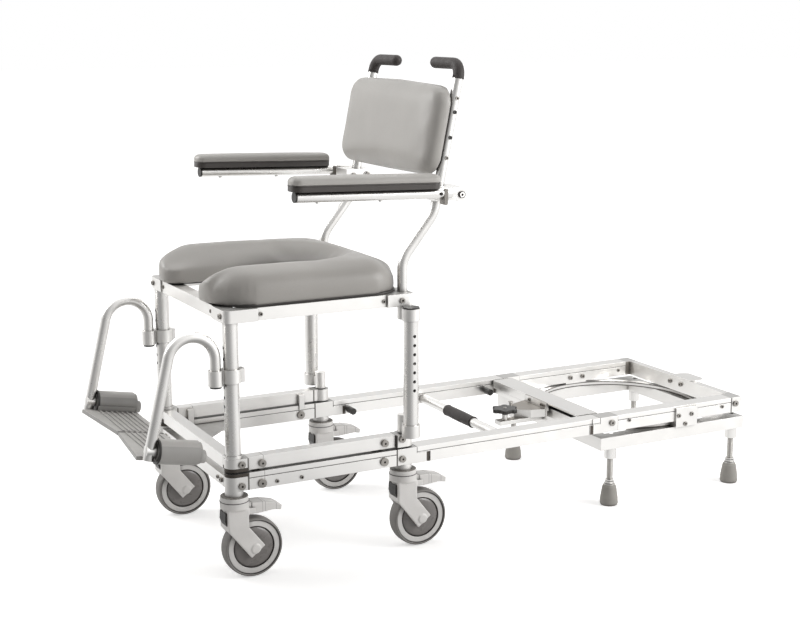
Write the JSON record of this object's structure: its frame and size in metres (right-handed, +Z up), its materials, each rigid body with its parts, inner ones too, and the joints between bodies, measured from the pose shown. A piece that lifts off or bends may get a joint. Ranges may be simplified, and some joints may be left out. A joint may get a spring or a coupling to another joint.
{
  "type": "bath transfer bench",
  "caption": "Shower and commode chair on a sliding carriage, with lift-off bridge rails to a turning base that stands in a bath.",
  "frame": {"origin": "on the floor, under the middle of the whole object's box", "axes": "+X from the chair's front towards the bath unit, +Y to the far side, +Z up"},
  "size_m": [1.5367, 0.5856, 1.0454],
  "materials": {
    "satin_aluminium": "satin anodised",
    "caster_plastic": "moulded",
    "wheel_rim": "moulded",
    "grey_tyre": "smooth rubber",
    "steel_fasteners": "plain",
    "black_plastic": "moulded",
    "grip_rubber": "matt",
    "grey_vinyl": "soft satin",
    "tread_plastic": "ribbed",
    "foot_rubber": "matt"
  },
  "bodies": {
    "base": {"base_rails": "satin_aluminium", "frame_corners": "satin_aluminium", "base_cross_rails": "satin_aluminium", "tub_rails": "satin_aluminium", "tub_cross_rails": "satin_aluminium", "turntable_blocks": "satin_aluminium", "latch_bracket": "satin_aluminium", "frame_bolts": "steel_fasteners"},
    "foot_turntable": {"turntable_ring": "satin_aluminium", "foot_frame": "satin_aluminium", "foot_sleeves": "satin_aluminium"},
    "clamp_knob": {"star_knob": "black_plastic"},
    "bridge": {"bridge_rails": "satin_aluminium", "bridge_tie_bar": "satin_aluminium", "bridge_grip": "grip_rubber"},
    "latch_front": {"latch_knob_front": "black_plastic"},
    "latch_rear": {"latch_knob_rear": "black_plastic"},
    "carriage": {"carriage_rails": "satin_aluminium", "carriage_corners": "satin_aluminium", "carriage_cross_rails": "satin_aluminium", "carriage_rollers": "steel_fasteners", "legs": "satin_aluminium", "leg_clamps": "satin_aluminium", "seat_rails": "satin_aluminium", "seat_corners": "satin_aluminium", "seat_cushion": "grey_vinyl", "back_canes": "satin_aluminium", "push_grips": "grip_rubber", "back_pad": "grey_vinyl", "arm_brackets": "satin_aluminium", "footrest_sockets": "satin_aluminium", "chair_bolts": "steel_fasteners"},
    "caster_near_front": {"caster_fork_near_front": "caster_plastic"},
    "wheel_near_front": {"wheel_core_near_front": "wheel_rim", "tyre_near_front": "grey_tyre"},
    "pedal_near_front": {"brake_pedal_near_front": "caster_plastic"},
    "foot_near_front": {"foot_near_front": "foot_rubber"},
    "caster_near_rear": {"caster_fork_near_rear": "caster_plastic"},
    "wheel_near_rear": {"wheel_core_near_rear": "wheel_rim", "tyre_near_rear": "grey_tyre"},
    "pedal_near_rear": {"brake_pedal_near_rear": "caster_plastic"},
    "foot_near_rear": {"foot_near_rear": "foot_rubber"},
    "caster_far_front": {"caster_fork_far_front": "caster_plastic"},
    "wheel_far_front": {"wheel_core_far_front": "wheel_rim", "tyre_far_front": "grey_tyre"},
    "pedal_far_front": {"brake_pedal_far_front": "caster_plastic"},
    "foot_far_front": {"foot_far_front": "foot_rubber"},
    "caster_far_rear": {"caster_fork_far_rear": "caster_plastic"},
    "wheel_far_rear": {"wheel_core_far_rear": "wheel_rim", "tyre_far_rear": "grey_tyre"},
    "pedal_far_rear": {"brake_pedal_far_rear": "caster_plastic"},
    "foot_far_rear": {"foot_far_rear": "foot_rubber"},
    "arm_near": {"arm_near": "satin_aluminium", "arm_pad_near": "grey_vinyl"},
    "hanger_near": {"hanger_near": "satin_aluminium"},
    "tread_near": {"footplate_near": "tread_plastic"},
    "arm_far": {"arm_far": "satin_aluminium", "arm_pad_far": "grey_vinyl"},
    "hanger_far": {"hanger_far": "satin_aluminium"},
    "tread_far": {"footplate_far": "tread_plastic"}
  },
  "joints": [
    {"name": "caster_swivel_near_front", "type": "hinge", "parent": "base", "child": "caster_near_front", "pos_m": [-0.57165, -0.21175, 0.16], "axis": [0, 0, 1], "continuous": true},
    {"name": "wheel_spin_near_front", "type": "hinge", "parent": "caster_near_front", "child": "wheel_near_front", "pos_m": [-0.53565, -0.21175, 0.0635], "axis": [0, 1, 0], "continuous": true},
    {"name": "brake_near_front", "type": "hinge", "parent": "caster_near_front", "child": "pedal_near_front", "pos_m": [-0.53865, -0.21175, 0.143], "axis": [0, 1, 0], "range_deg": [0, 14]},
    {"name": "foot_height_near_front", "type": "slide", "parent": "foot_turntable", "child": "foot_near_front", "axis": [0, 0, 1], "range_m": [-0.015, 0.03]},
    {"name": "caster_swivel_near_rear", "type": "hinge", "parent": "base", "child": "caster_near_rear", "pos_m": [-0.18365, -0.21175, 0.16], "axis": [0, 0, 1], "continuous": true},
    {"name": "wheel_spin_near_rear", "type": "hinge", "parent": "caster_near_rear", "child": "wheel_near_rear", "pos_m": [-0.14765, -0.21175, 0.0635], "axis": [0, 1, 0], "continuous": true},
    {"name": "brake_near_rear", "type": "hinge", "parent": "caster_near_rear", "child": "pedal_near_rear", "pos_m": [-0.15065, -0.21175, 0.143], "axis": [0, 1, 0], "range_deg": [0, 14]},
    {"name": "foot_height_near_rear", "type": "slide", "parent": "foot_turntable", "child": "foot_near_rear", "axis": [0, 0, 1], "range_m": [-0.015, 0.03]},
    {"name": "caster_swivel_far_front", "type": "hinge", "parent": "base", "child": "caster_far_front", "pos_m": [-0.57165, 0.21175, 0.16], "axis": [0, 0, 1], "continuous": true},
    {"name": "wheel_spin_far_front", "type": "hinge", "parent": "caster_far_front", "child": "wheel_far_front", "pos_m": [-0.53565, 0.21175, 0.0635], "axis": [0, 1, 0], "continuous": true},
    {"name": "brake_far_front", "type": "hinge", "parent": "caster_far_front", "child": "pedal_far_front", "pos_m": [-0.53865, 0.21175, 0.143], "axis": [0, 1, 0], "range_deg": [0, 14]},
    {"name": "foot_height_far_front", "type": "slide", "parent": "foot_turntable", "child": "foot_far_front", "axis": [0, 0, 1], "range_m": [-0.015, 0.03]},
    {"name": "caster_swivel_far_rear", "type": "hinge", "parent": "base", "child": "caster_far_rear", "pos_m": [-0.18365, 0.21175, 0.16], "axis": [0, 0, 1], "continuous": true},
    {"name": "wheel_spin_far_rear", "type": "hinge", "parent": "caster_far_rear", "child": "wheel_far_rear", "pos_m": [-0.14765, 0.21175, 0.0635], "axis": [0, 1, 0], "continuous": true},
    {"name": "brake_far_rear", "type": "hinge", "parent": "caster_far_rear", "child": "pedal_far_rear", "pos_m": [-0.15065, 0.21175, 0.143], "axis": [0, 1, 0], "range_deg": [0, 14]},
    {"name": "foot_height_far_rear", "type": "slide", "parent": "foot_turntable", "child": "foot_far_rear", "axis": [0, 0, 1], "range_m": [-0.015, 0.03]},
    {"name": "turntable", "type": "hinge", "parent": "base", "child": "foot_turntable", "pos_m": [0.53835, 0, 0.18], "axis": [0, 0, 1], "range_deg": [0, 90]},
    {"name": "clamp_turn", "type": "hinge", "parent": "base", "child": "clamp_knob", "pos_m": [0.18335, -0.036, 0.216], "axis": [0, 0, 1], "range_deg": [-180, 180]},
    {"name": "bridge_lift", "type": "slide", "parent": "base", "child": "bridge", "axis": [0, 0, -1], "range_m": [-0.15, 0]},
    {"name": "latch_pull_front", "type": "slide", "parent": "bridge", "child": "latch_front", "axis": [0, -1, 0], "range_m": [0, 0.008], "stiffness_N_per_m": 600, "springref_m": -0.006},
    {"name": "latch_pull_rear", "type": "slide", "parent": "bridge", "child": "latch_rear", "axis": [0, -1, 0], "range_m": [0, 0.008], "stiffness_N_per_m": 600, "springref_m": -0.006},
    {"name": "carriage_slide", "type": "slide", "parent": "base", "child": "carriage", "axis": [1, 0, 0], "range_m": [0, 0.88]},
    {"name": "arm_flip_near", "type": "hinge", "parent": "carriage", "child": "arm_near", "pos_m": [-0.07365, -0.25175, 0.768], "axis": [0, 1, 0], "range_deg": [0, 100]},
    {"name": "footrest_swing_near", "type": "hinge", "parent": "carriage", "child": "hanger_near", "pos_m": [-0.60465, -0.21175, 0.42], "axis": [0, 0, 1], "range_deg": [0, 90]},
    {"name": "tread_flip_near", "type": "hinge", "parent": "hanger_near", "child": "tread_near", "pos_m": [-0.74465, -0.21175, 0.295], "axis": [0.9848, 0, -0.1736], "range_deg": [0, 90]},
    {"name": "arm_flip_far", "type": "hinge", "parent": "carriage", "child": "arm_far", "pos_m": [-0.07365, 0.25175, 0.768], "axis": [0, 1, 0], "range_deg": [0, 100]},
    {"name": "footrest_swing_far", "type": "hinge", "parent": "carriage", "child": "hanger_far", "pos_m": [-0.60465, 0.21175, 0.42], "axis": [0, 0, 1], "range_deg": [-90, 0]},
    {"name": "tread_flip_far", "type": "hinge", "parent": "hanger_far", "child": "tread_far", "pos_m": [-0.74465, 0.21175, 0.295], "axis": [0.9848, 0, -0.1736], "range_deg": [-90, 0]}
  ]
}
